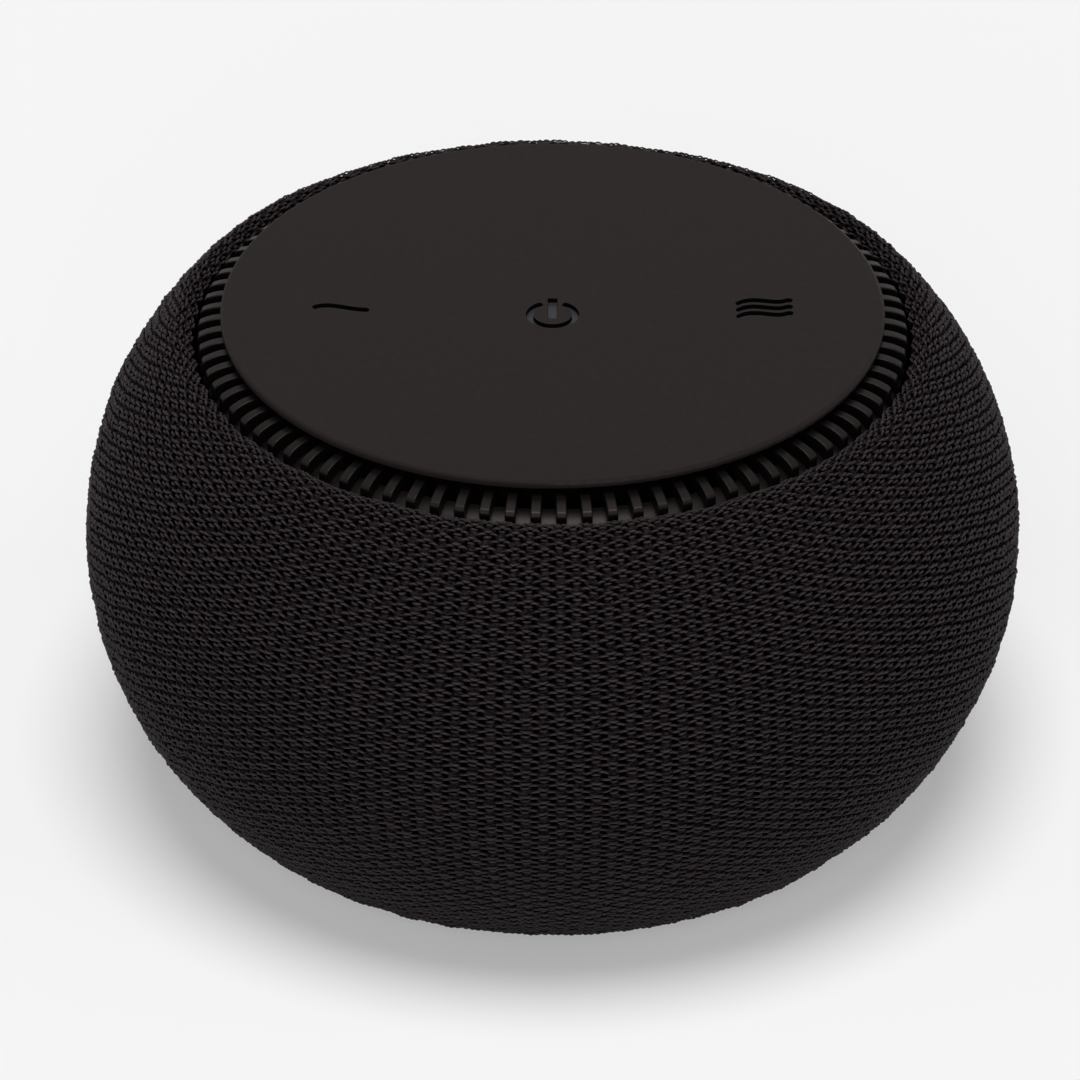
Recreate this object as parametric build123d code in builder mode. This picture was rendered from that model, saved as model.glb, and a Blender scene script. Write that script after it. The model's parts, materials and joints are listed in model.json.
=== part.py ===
from build123d import *
from math import acos, atan2, cos, degrees, radians, sin, sqrt
import os

# A sound machine that makes its noise with a real fan. Millimetres, +Z up, the front is -Y.
# The origin is on the floor, on the axis of the round body.
# Three bodies: the fixed core, the knit-covered shell that twists on it, and the fan.

# ---------------------------------------------------------------- driving dimensions
# whole body
body_d = 140.0          # outside of the knit at the belly
body_h = 79.0           # floor to the top face of the touch panel
hem_d = 101.9           # inside of the knit's flat underside
hem_z = 2.8             # height of the knit's underside above the floor
tuck_r = 5.0            # roll that takes the body under at the bottom
lip_r = 2.3             # roll of the knit around the shell's mouth
lip_drop = 5.6          # middle of that roll, under the panel's face

# touch panel and its signs
panel_d = 97.6          # round top plate
panel_edge_t = 1.2      # plate thickness at its rim
panel_boss_t = 2.4      # plate thickness over the carrier
panel_round_r = 0.5     # rounding of the top edge
sign_spread = 31.1      # outer signs from the centre
sign_shift = -0.8       # sign row from the centre, towards the front
sign_depth = 0.68       # how far the light guide stays under the face
sign_fit = 0.05         # gap between the light guide and the sign's edge
panel_low_round_r = 0.3  # rounding of the plate's lower edge
wave_stroke = 1.25      # stroke of the wave signs
wave_pitch = 1.85       # spacing of the three stacked waves
power_bar_w = 1.45      # bar of the power sign
power_bar_l = 5.7
power_bar_shift = -0.25  # middle of the bar from the sign row
power_ring_stroke = 1.1  # stroke of its open ring
power_ring_r = 3.37     # centre line of the ring
power_ring_shift = -1.95  # ring centre from the sign row
power_gap_angle = 70.0  # opening of the ring
guide_w = 12.6          # light guide strip, front to back
guide_t = 0.6           # light guide strip, thickness
guide_past = 7.0        # light guide strip, past the middles of the outer signs

# ring of ribs around the panel
rib_count = 90
rib_w = 1.48            # rib thickness
rib_phase = 1.43        # first rib, degrees past the front line
mouth_gap = 3.8         # panel rim to the knit, measured flat
mouth_fit = 0.35        # rib ends to the knit's turned edge
rib_crown_in = 0.55     # highest line of the ribs, inside the panel rim
rib_crown_gap = 1.05    # rib crown to the panel's underside
rib_curve_r = 7.8       # fall of the ribs from their crown to their ends
rib_round_r = 1.0       # rounding of their outer ends
rib_edge_r = 0.2        # rounding along their tops
rib_h = 4.5             # rib height under the crown
rib_drop = 2.0          # ribs stand this much above the band that joins them
band_reach = 3.25       # band, from its inner edge out to the rib ends
band_t = 1.4            # wall of the band and of its skirt
skirt_h = 8.0           # foot of the skirt, under the rib crown
ring_wall_t = 2.0       # upright wall that the ribs spring from
ring_wall_drop = 0.2    # that wall's top, under the rib crown
ring_floor_t = 1.5      # flange that rests on the lid
ring_floor_over = 0.7   # flange past the drum's rim, which it holds down

# knit, shell and hem
knit_t = 1.2
shell_t = 2.2
shell_slot_count = 36
shell_slot_w = 4.0
shell_slot_margin = 10.0  # unslotted band above the ledge and below the lip
hem_ring_w = 2.0
hem_ring_h = 4.8
hem_ring_up = 0.4       # hem ring above the knit's underside
ledge_t = 3.1           # shell ledge that carries the drum
ledge_reach = 1.9       # ledge past the hem, towards the axis

# tone drum, twisted with the shell
twist_range = 30.0      # degrees, ports open to ports shut
port_count = 6
port_slots = 5          # slots in each port
port_slot_w = 2.4
drum_t = 1.8
drum_fit = 0.4          # drum to core, on the radius
drum_flange_t = 2.0
drum_flange_reach = 2.1  # flange past the hem ring, outward
drum_top_gap = 0.5      # drum rim to the ring that holds it down
drum_bite = 2.2         # drum screws into the ledge
stop_angle = 6.0        # stop lug of the drum
stop_play = 0.5         # degrees left at each end of the twist
stop_depth = 1.0        # lug below the glide ring's seat
stop_fit = 0.3          # lug to the pocket's floor

# plinth and feet
foot_h = 2.0            # rubber below the plinth
foot_seat = 1.0         # rubber let into the plinth
foot_w = 4.0
foot_angle = 60.0
foot_count = 4
foot_inset = 4.3        # foot's outer edge from the plinth's edge
base_t = 2.5            # plinth floor
plinth_fit = 0.6        # plinth to the hem ring
shoulder_w = 8.3        # width of the plinth's raised rim
glide_t = 1.5
glide_gap = 0.1
glide_margin = 0.3      # glide ring in from the plinth's edge
glide_in_fit = 0.4      # glide ring to the drum's inner face
intake_count = 20
intake_w = 2.2
intake_r_in = 12.0
intake_r_out = 24.0

# supply inlet in the plinth, its mouth facing down
inlet_y = 33.0          # inlet axis behind the centre
pocket_w = 14.0
pocket_l = 12.2
pocket_top = 12.5       # height of the pocket's ceiling
pocket_wall = 1.8
channel_w = 7.0         # cord channel out to the rear
channel_top = 7.3
jack_w = 9.0
jack_h = 10.5
jack_bore_r = 3.0
jack_pin_r = 1.05
jack_depth = 9.0
jack_lip = 1.2          # threaded neck in the pocket's ceiling
jack_neck_r = 3.9
jack_round_r = 0.6      # its body's upright corners
box_fit = 0.4           # pocket's walls to the core's floor

# core housing and lid
core_wall = 2.2
core_in = 3.7           # core's outer face from the plinth's edge
core_floor_t = 2.0
lid_drop = 12.5         # panel face to the lid's top
lid_t = 2.5
port_low = 12.5         # ports start this far above the core's floor seat
port_high = 8.0         # and stop this far below the lid
screw_r = 1.5
screw_head_r = 2.8
screw_head_h = 1.6
head_fit = 0.2          # screw head to its counterbore
head_sink = 3.2         # plinth screws, counterbore depth
screw_bite = 7.0        # screws into the housing's bosses
hole_spare = 1.0        # blind holes past the screws' tips
boss_r = 3.5
boss_in = 8.6           # bosses and pillars in from the core's outer face
base_boss_h = 8.5
lid_boss_in = 5.6
lid_boss_h = 10.0
carrier_boss_h = 5.0    # bosses under the lid
carrier_bite = 4.0      # carrier screws into them
carrier_boss_r = 4.5    # feet of the carrier

# fan and motor
pillar_drop = 14.0      # motor pillars end this far below the lid
grommet_r = 4.2
grommet_neck_r = 2.9
grommet_flange_t = 2.0
bracket_t = 2.0
bracket_hub_r = 14.0
bracket_arm_w = 8.0
bracket_ear_r = 5.5
tip_gap = 4.5           # impeller tip to the pillars
blade_count = 11
blade_t = 1.2
blade_h = 18.0
blade_sweep = 28.0      # degrees from hub to tip
fan_drop = 6.4          # bracket to the impeller's back plate
back_plate_t = 1.6
blade_root = 0.4        # blades let into the hub
blade_tip_in = 0.2      # blade tips in from the back plate's rim
blade_bow_out = 0.55    # where a blade bows most, as a share of its length
blade_bow_turn = 0.35   # and how far it has swept there, as a share of its sweep
hub_wall = 2.0
hub_floor_t = 1.5
rotor_r = 15.0
rotor_wall = 1.0
rotor_h = 14.5
rotor_drop = 4.5        # bracket to the rotor's rim
rotor_boss_t = 1.2      # boss round the shaft
rotor_boss_h = 1.5
magnet_t = 1.7
magnet_h = 10.0
magnet_up = 2.5         # magnet above the rotor's floor
air_gap = 0.5
tooth_count = 6
stator_h = 7.0
stator_yoke = 1.6
tooth_w = 2.4
tooth_tip_t = 1.2
tooth_mouth = 10.8      # degrees between two tooth tips
winding_t = 1.0
coil_gap = 0.5          # coils to the yoke and to the tips
bearing_tube_r = 4.6
bearing_r = 3.0
shaft_r = 1.5
shaft_fit = 0.02        # running clearance on the radius
bearing_h = 16.0
shaft_over = 2.2        # shaft above its bearing
clip_t = 0.6
clip_r = 2.6
clip_gap = 0.2          # bearing to the clip
clip_groove = 0.3       # depth of its groove
clip_mouth = 2.1        # opening of the clip
motor_board_t = 1.2
motor_board_in = 1.0    # its edge in from the bracket's hub
motor_plug_l = 6.0
motor_plug_w = 5.0
motor_plug_h = 2.5
motor_plug_out = 2.0    # plug past the bracket's hub
inlet_eye_r = 20.0      # air inlet in the core's floor
eye_wall = 1.6
eye_gap = 1.5           # inlet's rim to the blades

# control board, touch board and carrier
board_l = 46.0
board_w = 34.0
board_t = 1.6
board_drop = 5.0        # lid's underside to the board
board_inset = 4.0
board_post_r = 2.5
small_screw_r = 1.1
small_head_r = 2.0
small_head_h = 1.3
small_screw_l = 5.0
plug_l = 6.0            # connectors at the board's edges
plug_h = 3.6
power_plug_w = 8.0
motor_socket_w = 7.0
ribbon_plug_l = 4.0
ribbon_plug_h = 2.2
chip_w = 8.0
chip_h = 1.2
chip_at = (13.0, -6.0)
capacitor_r = 2.5
capacitor_h = 4.2
capacitor_at = [(-13.0, -9.0), (-7.0, -9.0)]
carrier_fit = 0.4       # carrier to the ring of ribs
carrier_wall = 2.0
carrier_floor_t = 1.6
carrier_h = 4.6         # carrier, from its floor to the panel
touch_board_gap = 0.8   # touch board to the panel
touch_board_in = 5.0    # touch board's edge in from the carrier's edge
board_seat_w = 3.0      # rim that the touch board lies on
led_l = 1.6
led_w = 0.8
led_h = 0.6
led_row = 6
led_pitch = 12.0
ribbon_w = 12.0
ribbon_t = 0.3
ribbon_slot_w = 3.0
ribbon_fit = 1.0        # ribbon to its slots' ends
lead_r = 1.3
lead_bend = 6.0
motor_lead_r = 1.0
motor_lead_bend = 3.0
motor_lead_out = 5.5    # motor lead, out from the board's edge

past = 1.0              # cutters run this far past the face they open

# ---------------------------------------------------------------- what follows from them
body_r = body_d / 2
panel_r = panel_d / 2
panel_under = body_h - panel_edge_t
boss_under = body_h - panel_boss_t

# mouth of the shell, hung from the panel: panel rim, ribs, then the knit's rolled lip
mouth_r = panel_r + mouth_gap
rib_crown_r = panel_r - rib_crown_in
rib_crown_z = panel_under - rib_crown_gap
rib_end_r = mouth_r - mouth_fit
rib_centre_z = rib_crown_z - rib_curve_r
lip_z = body_h - lip_drop
lip_c = (mouth_r + lip_r, lip_z)

# side of the body: one barrel arc that is upright at the belly and touches both rolls.
# A roll of radius r whose middle is w inside the belly and h above or below it touches an arc of
# radius R where h**2 = (w - r) * (2 * R - w - r). The two heights add up to rise, so the one
# over the belly, lip_up, solves a quadratic.
hem_r = hem_d / 2
tuck_c = (hem_r, hem_z + tuck_r)
lip_in = body_r - lip_c[0]
tuck_in = body_r - tuck_c[0]
rise = lip_c[1] - tuck_c[1]
lip_bulge = lip_in - lip_r
tuck_bulge = tuck_in - tuck_r
square_term = 1 / lip_bulge - 1 / tuck_bulge
linear_term = 2 * rise / tuck_bulge
plain_term = lip_in + lip_r - tuck_in - tuck_r - rise**2 / tuck_bulge
lip_up = -2 * plain_term / (linear_term + sqrt(linear_term**2 - 4 * square_term * plain_term))
side_r = (lip_up**2 / lip_bulge + lip_in + lip_r) / 2
side_c = (body_r - side_r, lip_c[1] - lip_up)
lip_angle = degrees(atan2(lip_c[1] - side_c[1], lip_c[0] - side_c[0]))
tuck_angle = degrees(atan2(tuck_c[1] - side_c[1], tuck_c[0] - side_c[0]))

# rings inside the hem, from the outside in
hem_ring_in = hem_r - hem_ring_w
hem_ring_low = hem_z + hem_ring_up
ledge_low = hem_ring_low + hem_ring_h
ledge_high = ledge_low + ledge_t
ledge_in = hem_r - ledge_reach
plinth_r = hem_ring_in - plinth_fit
shoulder_z = ledge_high - glide_gap - glide_t
core_r = plinth_r - core_in
core_in_r = core_r - core_wall
drum_in = core_r + drum_fit
drum_r = drum_in + drum_t
drum_flange_r = hem_r + drum_flange_reach
drum_screw_r = drum_flange_r - small_head_r
lid_top = body_h - lid_drop
core_top = lid_top - lid_t
boss_pitch_r = core_r - boss_in
lid_boss_pitch_r = core_r - lid_boss_in
port_pitch = 360 / port_count
slot_pitch = port_pitch / 2 / port_slots
port_z = (shoulder_z + port_low, core_top - port_high)
stop_turn = twist_range + stop_angle + 2 * stop_play
stop_from = 270 - stop_angle / 2 - stop_play

# motor, hung under its bracket
pillar_top = core_top - pillar_drop
bracket_z = pillar_top + grommet_flange_t
grommet_top = bracket_z + bracket_t + grommet_flange_t
impeller_r = boss_pitch_r - boss_r - tip_gap
back_plate_z = bracket_z - fan_drop - back_plate_t
blade_low = back_plate_z - blade_h
rotor_top = bracket_z - rotor_drop
rotor_low = rotor_top - rotor_h
hub_r = rotor_r + hub_wall
magnet_r = rotor_r - rotor_wall
magnet_in = magnet_r - magnet_t
stator_r = magnet_in - air_gap
magnet_low = rotor_low + rotor_wall + magnet_up
stator_z = magnet_low + (magnet_h - stator_h) / 2
bearing_top = bracket_z + bracket_t - clip_t
bearing_low = bearing_top - bearing_h
eye_top = blade_low - eye_gap

# boards
board_under = core_top - board_drop - board_t
board_top = board_under + board_t
board_corners = [
    (x * (board_l / 2 - board_inset), y * (board_w / 2 - board_inset)) for x in (-1, 1) for y in (-1, 1)
]
carrier_r = core_in_r + core_wall / 2 - carrier_fit
carrier_z = boss_under - carrier_h
ring_wall_in = carrier_r + carrier_fit
ring_wall_r = ring_wall_in + ring_wall_t
ring_top = lid_top + ring_floor_t
touch_board_top = boss_under - touch_board_gap
touch_board_low = touch_board_top - board_t
touch_board_r = carrier_r - touch_board_in

# directions, degrees from +X, in the gaps between the ports
pillar_angles = [30, 150, 270]
lid_screw_angles = [90, 210, 330]
base_screw_angles = [55, 125, 235, 305]
carrier_screw_angles = [45, 135, 225, 315]
drum_screw_angles = lid_screw_angles + pillar_angles


# ---------------------------------------------------------------- shared shapes
def tube(r_out, r_in, z_low, z_high, mode=Mode.ADD):
    """A straight ring about the body's axis; a disc if r_in is 0."""
    with BuildSketch(Plane.XY.offset(z_low)) as ring:
        Circle(r_out)
        if r_in > 0:
            Circle(r_in, mode=Mode.SUBTRACT)
    extrude(ring.sketch, amount=z_high - z_low, mode=mode)


def pillars(r, pitch_r, angles, z_low, z_high, mode=Mode.ADD):
    """Round pillars, or holes, standing on a circle at the given angles."""
    at_points(r, [polar(pitch_r, angle) for angle in angles], z_low, z_high, mode)


def sector(r_out, r_in, start, turn, z_low, z_high, mode=Mode.ADD):
    """A piece of a ring, from a start angle over a turn, in degrees."""
    with BuildSketch(Plane.XY.offset(z_low)) as piece:
        with BuildLine():
            outer = CenterArc((0, 0), r_out, start, turn)
            inner = CenterArc((0, 0), r_in, start, turn)
            Line(outer @ 0, inner @ 0)
            Line(outer @ 1, inner @ 1)
        make_face()
    extrude(piece.sketch, amount=z_high - z_low, mode=mode)


def at_points(r, points, z_low, z_high, mode=Mode.ADD):
    """Round posts, or holes, at the given points."""
    with BuildSketch(Plane.XY.offset(z_low)) as circles:
        with Locations(*points):
            Circle(r)
    extrude(circles.sketch, amount=z_high - z_low, mode=mode)


def block(x_span, y_span, z_span, mode=Mode.ADD):
    """A box from three (low, high) spans."""
    with BuildSketch(Plane.XY.offset(z_span[0])) as outline:
        with Locations(((x_span[0] + x_span[1]) / 2, (y_span[0] + y_span[1]) / 2)):
            Rectangle(x_span[1] - x_span[0], y_span[1] - y_span[0])
    extrude(outline.sketch, amount=z_span[1] - z_span[0], mode=mode)


def polar(r, angle):
    """A point on a circle about the axis."""
    return (r * cos(radians(angle)), r * sin(radians(angle)))


def spokes(r_in, r_out, width, angles, z_low, z_high, mode=Mode.ADD):
    """Straight bars, or slots through a ring's wall, that point away from the axis."""
    with BuildSketch(Plane.XY.offset(z_low)) as bars:
        for angle in angles:
            with Locations(Location((0, 0, 0), (0, 0, angle))):
                with Locations(((r_in + r_out) / 2, 0)):
                    Rectangle(r_out - r_in, width)
    extrude(bars.sketch, amount=z_high - z_low, mode=mode)


def all_round(count, first=0):
    """Directions spread evenly round the axis."""
    return [first + k * 360 / count for k in range(count)]


def port_angles():
    """Directions of all the port slots, port by port."""
    first = -slot_pitch * (port_slots - 1) / 2
    return [
        port * port_pitch + first + slot * slot_pitch
        for port in range(port_count)
        for slot in range(port_slots)
    ]


def skin_arcs(depth):
    """The body's side at a depth under the knit's face: tuck, barrel and lip. Returns its two ends."""
    tuck = CenterArc(tuck_c, tuck_r - depth, -90, 90 + tuck_angle)
    CenterArc(side_c, side_r - depth, tuck_angle, lip_angle - tuck_angle)
    lip = CenterArc(lip_c, lip_r - depth, lip_angle, 180 - lip_angle)
    return tuck @ 0, lip @ 1


def side_at(z, depth):
    """Radius of the barrel arc at a height, at a depth under the knit's face."""
    return side_c[0] + sqrt((side_r - depth) ** 2 - (z - side_c[1]) ** 2)


def cross_screw(shank_r, length, head_r, head_h):
    """A cross-head screw pointing down, the underside of its head at the origin."""
    round_r = 0.4 * head_h
    cross_l = 1.1 * head_r
    cross_w = 0.25 * head_r
    cross_deep = 0.55 * head_h
    with BuildPart() as screw:
        with BuildSketch():
            Circle(head_r)
        extrude(amount=head_h)
        fillet(screw.edges().group_by(Axis.Z)[-1], round_r)
        with BuildSketch():
            Circle(shank_r)
        extrude(amount=-length)
        with BuildSketch(Plane.XY.offset(head_h)):
            Rectangle(cross_l, cross_w)
            Rectangle(cross_w, cross_l)
        extrude(amount=-cross_deep, mode=Mode.SUBTRACT)
    return screw.part


def on_circle(pitch_r, angles, z, flip=False):
    """Places on a circle, looking up, or down if flipped."""
    z_dir = (0, 0, -1) if flip else (0, 0, 1)
    return [Plane(origin=(*polar(pitch_r, angle), z), z_dir=z_dir) for angle in angles]


# ---------------------------------------------------------------- feet and plinth
foot_angles = all_round(foot_count, 180 / foot_count)
foot_r = plinth_r - foot_inset

with BuildPart() as foot_pads:
    for angle in foot_angles:
        sector(foot_r, foot_r - foot_w, angle - foot_angle / 2, foot_angle, 0, foot_h + foot_seat)

jack_top = pocket_top + jack_lip + jack_h
pocket_x = (-pocket_w / 2, pocket_w / 2)
pocket_y = (inlet_y - pocket_l / 2, inlet_y + pocket_l / 2)
box_x = (pocket_x[0] - pocket_wall, pocket_x[1] + pocket_wall)
box_y = (pocket_y[0] - pocket_wall, pocket_y[1] + pocket_wall)
box_top = pocket_top + jack_lip

with BuildPart() as base_plate:
    tube(plinth_r, 0, foot_h, foot_h + base_t)
    tube(plinth_r, plinth_r - shoulder_w, foot_h, shoulder_z)
    pillars(boss_r, boss_pitch_r, base_screw_angles, foot_h, shoulder_z)
    block(box_x, box_y, (foot_h, box_top))
    # pocket for the plug, the jack's neck hole and the channel that leads the cord out
    block(pocket_x, pocket_y, (foot_h, pocket_top), mode=Mode.SUBTRACT)
    with BuildSketch(Plane.XY.offset(pocket_top)):
        with Locations((0, inlet_y)):
            Circle(jack_neck_r)
    extrude(amount=jack_lip, mode=Mode.SUBTRACT)
    block((-channel_w / 2, channel_w / 2), (inlet_y, plinth_r + past), (foot_h, channel_top),
          mode=Mode.SUBTRACT)
    # air intake, spokes between radial slots
    spokes(intake_r_in, intake_r_out, intake_w, all_round(intake_count), foot_h, foot_h + base_t,
           mode=Mode.SUBTRACT)
    # screw holes with sunk heads, and the seats of the feet
    pillars(screw_r, boss_pitch_r, base_screw_angles, foot_h, shoulder_z, mode=Mode.SUBTRACT)
    pillars(screw_head_r + head_fit, boss_pitch_r, base_screw_angles, foot_h, foot_h + head_sink,
            mode=Mode.SUBTRACT)
    for angle in foot_angles:
        sector(foot_r, foot_r - foot_w, angle - foot_angle / 2, foot_angle, foot_h, foot_h + foot_seat,
               mode=Mode.SUBTRACT)
    # pocket that stops the drum's lug at both ends of the twist
    sector(plinth_r + past, drum_in, stop_from, stop_turn, shoulder_z - stop_depth - stop_fit, shoulder_z,
           mode=Mode.SUBTRACT)

base_screw_z = foot_h + head_sink
with BuildPart() as base_screws:
    screw = cross_screw(screw_r, shoulder_z + base_boss_h - base_screw_z, screw_head_r, screw_head_h)
    with Locations(*on_circle(boss_pitch_r, base_screw_angles, base_screw_z, flip=True)):
        add(screw)

with BuildPart() as glide_ring:
    tube(plinth_r - glide_margin, drum_in + glide_in_fit, shoulder_z, shoulder_z + glide_t)
    sector(plinth_r + past, drum_in - past, stop_from, stop_turn, shoulder_z, shoulder_z + glide_t,
           mode=Mode.SUBTRACT)

# barrel inlet: square body, threaded neck in the pocket's ceiling, centre pin
with BuildPart() as dc_inlet:
    with BuildSketch(Plane.XY.offset(pocket_top)):
        with Locations((0, inlet_y)):
            Circle(jack_neck_r)
    extrude(amount=jack_lip)
    with BuildSketch(Plane.XY.offset(box_top)):
        with Locations((0, inlet_y)):
            RectangleRounded(jack_w, jack_w, jack_round_r)
    extrude(amount=jack_h)
    with BuildSketch(Plane.XY.offset(pocket_top)):
        with Locations((0, inlet_y)):
            Circle(jack_bore_r)
            Circle(jack_pin_r, mode=Mode.SUBTRACT)
    extrude(amount=jack_depth, mode=Mode.SUBTRACT)

# ---------------------------------------------------------------- core housing and lid
blind_hole = screw_bite + hole_spare
ribbon_slot_x = (-ribbon_w / 2 - ribbon_fit, ribbon_w / 2 + ribbon_fit)
ribbon_slot_y = (-ribbon_slot_w / 2, ribbon_slot_w / 2)
with BuildPart() as core_housing:
    tube(core_r, core_in_r, shoulder_z, core_top)
    tube(core_r, inlet_eye_r, shoulder_z, shoulder_z + core_floor_t)
    tube(inlet_eye_r + eye_wall, inlet_eye_r, shoulder_z, eye_top)
    pillars(boss_r, boss_pitch_r, base_screw_angles, shoulder_z, shoulder_z + base_boss_h)
    pillars(boss_r, boss_pitch_r, pillar_angles, shoulder_z, pillar_top)
    pillars(boss_r, lid_boss_pitch_r, lid_screw_angles, core_top - lid_boss_h, core_top)
    # seat around the inlet pocket, screw holes and tone ports
    block((box_x[0] - box_fit, box_x[1] + box_fit), (box_y[0] - box_fit, box_y[1] + box_fit),
          (shoulder_z, shoulder_z + core_floor_t), mode=Mode.SUBTRACT)
    pillars(screw_r, boss_pitch_r, base_screw_angles, shoulder_z, shoulder_z + base_boss_h,
            mode=Mode.SUBTRACT)
    pillars(screw_r, boss_pitch_r, pillar_angles, pillar_top - blind_hole, pillar_top, mode=Mode.SUBTRACT)
    pillars(screw_r, lid_boss_pitch_r, lid_screw_angles, core_top - blind_hole, core_top, mode=Mode.SUBTRACT)
    spokes(core_in_r - past, core_r + past, port_slot_w, port_angles(), *port_z, mode=Mode.SUBTRACT)

with BuildPart() as core_lid:
    tube(core_r, 0, core_top, lid_top)
    at_points(board_post_r, board_corners, board_top, core_top)
    pillars(boss_r, boss_pitch_r, carrier_screw_angles, core_top - carrier_boss_h, core_top)
    block(ribbon_slot_x, ribbon_slot_y, (core_top, lid_top), mode=Mode.SUBTRACT)
    at_points(small_screw_r, board_corners, board_top, board_under + small_screw_l, mode=Mode.SUBTRACT)
    pillars(screw_r, boss_pitch_r, carrier_screw_angles, core_top - carrier_boss_h, lid_top,
            mode=Mode.SUBTRACT)
    pillars(screw_r, lid_boss_pitch_r, lid_screw_angles, core_top, lid_top, mode=Mode.SUBTRACT)
    pillars(screw_head_r + head_fit, lid_boss_pitch_r, lid_screw_angles, lid_top - screw_head_h, lid_top,
            mode=Mode.SUBTRACT)

with BuildPart() as lid_screws:
    screw = cross_screw(screw_r, lid_t - screw_head_h + screw_bite, screw_head_r, screw_head_h)
    with Locations(*on_circle(lid_boss_pitch_r, lid_screw_angles, lid_top - screw_head_h)):
        add(screw)

# ---------------------------------------------------------------- motor, still parts
with BuildPart() as motor_bracket:
    with BuildSketch(Plane.XY.offset(bracket_z)):
        Circle(bracket_hub_r)
        for angle in pillar_angles:
            with Locations(Location((0, 0, 0), (0, 0, angle))):
                with Locations((boss_pitch_r / 2, 0)):
                    Rectangle(boss_pitch_r, bracket_arm_w)
                with Locations((boss_pitch_r, 0)):
                    Circle(bracket_ear_r)
    extrude(amount=bracket_t)
    pillars(grommet_neck_r, boss_pitch_r, pillar_angles, bracket_z, bracket_z + bracket_t,
            mode=Mode.SUBTRACT)
    pillars(bearing_tube_r, 0, [0], bracket_z, bracket_z + bracket_t, mode=Mode.SUBTRACT)

with BuildPart() as isolation_grommets:
    pillars(grommet_neck_r, boss_pitch_r, pillar_angles, pillar_top, grommet_top)
    pillars(grommet_r, boss_pitch_r, pillar_angles, pillar_top, bracket_z)
    pillars(grommet_r, boss_pitch_r, pillar_angles, bracket_z + bracket_t, grommet_top)
    pillars(screw_r, boss_pitch_r, pillar_angles, pillar_top, grommet_top, mode=Mode.SUBTRACT)

with BuildPart() as motor_screws:
    screw = cross_screw(screw_r, grommet_top - pillar_top + screw_bite, screw_head_r, screw_head_h)
    with Locations(*on_circle(boss_pitch_r, pillar_angles, grommet_top)):
        add(screw)

with BuildPart() as bearing_tube:
    tube(bearing_tube_r, bearing_r, bearing_low, bracket_z + bracket_t)

with BuildPart() as sleeve_bearing:
    tube(bearing_r, shaft_r + shaft_fit, bearing_low, bearing_top)

# round board under the bracket, with the motor lead's plug on its edge
motor_board_low = bracket_z - motor_board_t
motor_plug_x = -bracket_hub_r - motor_plug_out
with BuildPart() as motor_board:
    tube(bracket_hub_r - motor_board_in, bearing_tube_r, motor_board_low, bracket_z)
    block((motor_plug_x, motor_plug_x + motor_plug_l), (-motor_plug_w / 2, motor_plug_w / 2),
          (motor_board_low - motor_plug_h, motor_board_low))

tooth_in = bearing_tube_r + stator_yoke
tooth_out = stator_r - tooth_tip_t
tooth_angles = all_round(tooth_count)
tooth_arc = 360 / tooth_count - tooth_mouth

with BuildPart() as stator_core:
    tube(tooth_in, bearing_tube_r, stator_z, stator_z + stator_h)
    spokes(tooth_in - stator_yoke / 2, tooth_out + tooth_tip_t / 2, tooth_w, tooth_angles,
           stator_z, stator_z + stator_h)
    for angle in tooth_angles:
        sector(stator_r, tooth_out, angle - tooth_arc / 2, tooth_arc, stator_z, stator_z + stator_h)

# one coil round each tooth, between the yoke and the tooth's tip
with BuildPart() as stator_windings:
    spokes(tooth_in + coil_gap, tooth_out - coil_gap, tooth_w + 2 * winding_t, tooth_angles,
           stator_z - winding_t, stator_z + stator_h + winding_t)
    spokes(tooth_in, tooth_out, tooth_w, tooth_angles, stator_z, stator_z + stator_h, mode=Mode.SUBTRACT)

# ---------------------------------------------------------------- fan, turning parts
with BuildPart() as rotor_cup:
    tube(rotor_r, 0, rotor_low, rotor_low + rotor_wall)
    tube(rotor_r, rotor_r - rotor_wall, rotor_low, rotor_top)
    tube(shaft_r + rotor_boss_t, 0, rotor_low, rotor_low + rotor_wall + rotor_boss_h)
    tube(shaft_r, 0, rotor_low, rotor_low + rotor_wall + rotor_boss_h, mode=Mode.SUBTRACT)

with BuildPart() as rotor_magnet:
    tube(magnet_r, magnet_in, magnet_low, magnet_low + magnet_h)

clip_z = bearing_top + clip_gap
with BuildPart() as motor_shaft:
    tube(shaft_r, 0, rotor_low, bearing_top + shaft_over)
    tube(shaft_r + past, shaft_r - clip_groove, clip_z, clip_z + clip_t, mode=Mode.SUBTRACT)

with BuildPart() as shaft_clip:
    tube(clip_r, shaft_r - clip_groove, clip_z, clip_z + clip_t)
    block((0, clip_r + past), (-clip_mouth / 2, clip_mouth / 2), (clip_z, clip_z + clip_t),
          mode=Mode.SUBTRACT)

with BuildPart() as fan_impeller:
    # hub pressed on the rotor cup, with its back plate at the top
    tube(hub_r, rotor_r, rotor_low - hub_floor_t, back_plate_z + back_plate_t)
    tube(hub_r, 0, rotor_low - hub_floor_t, rotor_low)
    tube(impeller_r, rotor_r, back_plate_z, back_plate_z + back_plate_t)
    # swept blades hanging from the plate
    blade_len = impeller_r - hub_r
    with BuildSketch(Plane.XY.offset(blade_low)):
        for start in all_round(blade_count):
            with BuildLine() as blade_line:
                ThreePointArc(
                    polar(hub_r - blade_root, start),
                    polar(hub_r + blade_bow_out * blade_len, start - blade_bow_turn * blade_sweep),
                    polar(impeller_r - blade_tip_in, start - blade_sweep),
                )
            trace(blade_line.line, blade_t)
    extrude(amount=blade_h + back_plate_t)
    tube(rotor_r, 0, rotor_low, back_plate_z + back_plate_t, mode=Mode.SUBTRACT)

# ---------------------------------------------------------------- control board
with BuildPart() as main_board:
    block((-board_l / 2, board_l / 2), (-board_w / 2, board_w / 2), (board_under, board_top))
    at_points(small_screw_r, board_corners, board_under, board_top, mode=Mode.SUBTRACT)

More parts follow.
